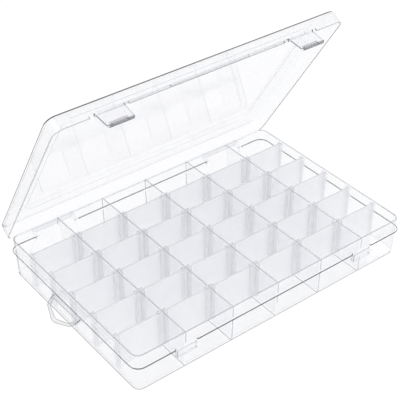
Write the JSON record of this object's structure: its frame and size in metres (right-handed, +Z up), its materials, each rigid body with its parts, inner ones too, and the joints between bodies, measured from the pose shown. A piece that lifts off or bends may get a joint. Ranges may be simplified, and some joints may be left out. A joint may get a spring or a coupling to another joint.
{
  "type": "parts sorting tray",
  "caption": "Clear plastic compartment box with a hinged lid, snap latch flaps, a hanging loop and removable frosted dividers for sorting small parts.",
  "frame": {"origin": "middle of the tray's underside, on the surface it stands on", "axes": "+X along the long side to the right, -Y towards the latches at the front, +Z up"},
  "size_m": [0.2876, 0.192, 0.1888],
  "materials": {
    "clear_plastic": "polished clear, faint cool tint",
    "frosted_plastic": "frosted translucent white"
  },
  "bodies": {
    "base": {"base_tray": "clear_plastic"},
    "lid": {"lid": "clear_plastic"},
    "latch_left": {"latch_left": "clear_plastic"},
    "latch_right": {"latch_right": "clear_plastic"},
    "hang_loop": {"hang_loop": "clear_plastic"},
    "divider_c1_r1": {"divider_c1_r1": "frosted_plastic"},
    "divider_c1_r2": {"divider_c1_r2": "frosted_plastic"},
    "divider_c1_r3": {"divider_c1_r3": "frosted_plastic"},
    "divider_c1_r4": {"divider_c1_r4": "frosted_plastic"},
    "divider_c1_r5": {"divider_c1_r5": "frosted_plastic"},
    "divider_c2_r1": {"divider_c2_r1": "frosted_plastic"},
    "divider_c2_r2": {"divider_c2_r2": "frosted_plastic"},
    "divider_c2_r3": {"divider_c2_r3": "frosted_plastic"},
    "divider_c2_r4": {"divider_c2_r4": "frosted_plastic"},
    "divider_c2_r5": {"divider_c2_r5": "frosted_plastic"},
    "divider_c3_r1": {"divider_c3_r1": "frosted_plastic"},
    "divider_c3_r2": {"divider_c3_r2": "frosted_plastic"},
    "divider_c3_r3": {"divider_c3_r3": "frosted_plastic"},
    "divider_c3_r4": {"divider_c3_r4": "frosted_plastic"},
    "divider_c3_r5": {"divider_c3_r5": "frosted_plastic"},
    "divider_c4_r1": {"divider_c4_r1": "frosted_plastic"},
    "divider_c4_r2": {"divider_c4_r2": "frosted_plastic"},
    "divider_c4_r3": {"divider_c4_r3": "frosted_plastic"},
    "divider_c4_r4": {"divider_c4_r4": "frosted_plastic"},
    "divider_c4_r5": {"divider_c4_r5": "frosted_plastic"},
    "divider_c5_r1": {"divider_c5_r1": "frosted_plastic"},
    "divider_c5_r2": {"divider_c5_r2": "frosted_plastic"},
    "divider_c5_r3": {"divider_c5_r3": "frosted_plastic"},
    "divider_c5_r4": {"divider_c5_r4": "frosted_plastic"},
    "divider_c5_r5": {"divider_c5_r5": "frosted_plastic"},
    "divider_c6_r1": {"divider_c6_r1": "frosted_plastic"},
    "divider_c6_r2": {"divider_c6_r2": "frosted_plastic"},
    "divider_c6_r3": {"divider_c6_r3": "frosted_plastic"},
    "divider_c6_r4": {"divider_c6_r4": "frosted_plastic"},
    "divider_c6_r5": {"divider_c6_r5": "frosted_plastic"}
  },
  "joints": [
    {"name": "lid_hinge", "type": "hinge", "parent": "base", "child": "lid", "pos_m": [0, 0.0961, 0.0256], "axis": [-1, 0, 0], "range_deg": [-58, 122]},
    {"name": "latch_left_hinge", "type": "hinge", "parent": "lid", "child": "latch_left", "pos_m": [-0.09, -0.00404, 0.18359], "axis": [-1, 0, 0], "range_deg": [-20, 60], "stiffness_Nm_per_rad": 0.01},
    {"name": "latch_right_hinge", "type": "hinge", "parent": "lid", "child": "latch_right", "pos_m": [0.09, -0.00404, 0.18359], "axis": [-1, 0, 0], "range_deg": [-20, 60], "stiffness_Nm_per_rad": 0.01},
    {"name": "hang_loop_hinge", "type": "hinge", "parent": "base", "child": "hang_loop", "pos_m": [-0.1373, 0, 0.0238], "axis": [0, 1, 0], "range_deg": [-58, 29], "stiffness_Nm_per_rad": 0.01},
    {"name": "divider_c1_r1_lift", "type": "slide", "parent": "base", "child": "divider_c1_r1", "axis": [0, 0, 1], "range_m": [0, 0.038]},
    {"name": "divider_c1_r2_lift", "type": "slide", "parent": "base", "child": "divider_c1_r2", "axis": [0, 0, 1], "range_m": [0, 0.038]},
    {"name": "divider_c1_r3_lift", "type": "slide", "parent": "base", "child": "divider_c1_r3", "axis": [0, 0, 1], "range_m": [0, 0.038]},
    {"name": "divider_c1_r4_lift", "type": "slide", "parent": "base", "child": "divider_c1_r4", "axis": [0, 0, 1], "range_m": [0, 0.038]},
    {"name": "divider_c1_r5_lift", "type": "slide", "parent": "base", "child": "divider_c1_r5", "axis": [0, 0, 1], "range_m": [0, 0.038]},
    {"name": "divider_c2_r1_lift", "type": "slide", "parent": "base", "child": "divider_c2_r1", "axis": [0, 0, 1], "range_m": [0, 0.038]},
    {"name": "divider_c2_r2_lift", "type": "slide", "parent": "base", "child": "divider_c2_r2", "axis": [0, 0, 1], "range_m": [0, 0.038]},
    {"name": "divider_c2_r3_lift", "type": "slide", "parent": "base", "child": "divider_c2_r3", "axis": [0, 0, 1], "range_m": [0, 0.038]},
    {"name": "divider_c2_r4_lift", "type": "slide", "parent": "base", "child": "divider_c2_r4", "axis": [0, 0, 1], "range_m": [0, 0.038]},
    {"name": "divider_c2_r5_lift", "type": "slide", "parent": "base", "child": "divider_c2_r5", "axis": [0, 0, 1], "range_m": [0, 0.038]},
    {"name": "divider_c3_r1_lift", "type": "slide", "parent": "base", "child": "divider_c3_r1", "axis": [0, 0, 1], "range_m": [0, 0.038]},
    {"name": "divider_c3_r2_lift", "type": "slide", "parent": "base", "child": "divider_c3_r2", "axis": [0, 0, 1], "range_m": [0, 0.038]},
    {"name": "divider_c3_r3_lift", "type": "slide", "parent": "base", "child": "divider_c3_r3", "axis": [0, 0, 1], "range_m": [0, 0.038]},
    {"name": "divider_c3_r4_lift", "type": "slide", "parent": "base", "child": "divider_c3_r4", "axis": [0, 0, 1], "range_m": [0, 0.038]},
    {"name": "divider_c3_r5_lift", "type": "slide", "parent": "base", "child": "divider_c3_r5", "axis": [0, 0, 1], "range_m": [0, 0.038]},
    {"name": "divider_c4_r1_lift", "type": "slide", "parent": "base", "child": "divider_c4_r1", "axis": [0, 0, 1], "range_m": [0, 0.038]},
    {"name": "divider_c4_r2_lift", "type": "slide", "parent": "base", "child": "divider_c4_r2", "axis": [0, 0, 1], "range_m": [0, 0.038]},
    {"name": "divider_c4_r3_lift", "type": "slide", "parent": "base", "child": "divider_c4_r3", "axis": [0, 0, 1], "range_m": [0, 0.038]},
    {"name": "divider_c4_r4_lift", "type": "slide", "parent": "base", "child": "divider_c4_r4", "axis": [0, 0, 1], "range_m": [0, 0.038]},
    {"name": "divider_c4_r5_lift", "type": "slide", "parent": "base", "child": "divider_c4_r5", "axis": [0, 0, 1], "range_m": [0, 0.038]},
    {"name": "divider_c5_r1_lift", "type": "slide", "parent": "base", "child": "divider_c5_r1", "axis": [0, 0, 1], "range_m": [0, 0.038]},
    {"name": "divider_c5_r2_lift", "type": "slide", "parent": "base", "child": "divider_c5_r2", "axis": [0, 0, 1], "range_m": [0, 0.038]},
    {"name": "divider_c5_r3_lift", "type": "slide", "parent": "base", "child": "divider_c5_r3", "axis": [0, 0, 1], "range_m": [0, 0.038]},
    {"name": "divider_c5_r4_lift", "type": "slide", "parent": "base", "child": "divider_c5_r4", "axis": [0, 0, 1], "range_m": [0, 0.038]},
    {"name": "divider_c5_r5_lift", "type": "slide", "parent": "base", "child": "divider_c5_r5", "axis": [0, 0, 1], "range_m": [0, 0.038]},
    {"name": "divider_c6_r1_lift", "type": "slide", "parent": "base", "child": "divider_c6_r1", "axis": [0, 0, 1], "range_m": [0, 0.038]},
    {"name": "divider_c6_r2_lift", "type": "slide", "parent": "base", "child": "divider_c6_r2", "axis": [0, 0, 1], "range_m": [0, 0.038]},
    {"name": "divider_c6_r3_lift", "type": "slide", "parent": "base", "child": "divider_c6_r3", "axis": [0, 0, 1], "range_m": [0, 0.038]},
    {"name": "divider_c6_r4_lift", "type": "slide", "parent": "base", "child": "divider_c6_r4", "axis": [0, 0, 1], "range_m": [0, 0.038]},
    {"name": "divider_c6_r5_lift", "type": "slide", "parent": "base", "child": "divider_c6_r5", "axis": [0, 0, 1], "range_m": [0, 0.038]}
  ]
}
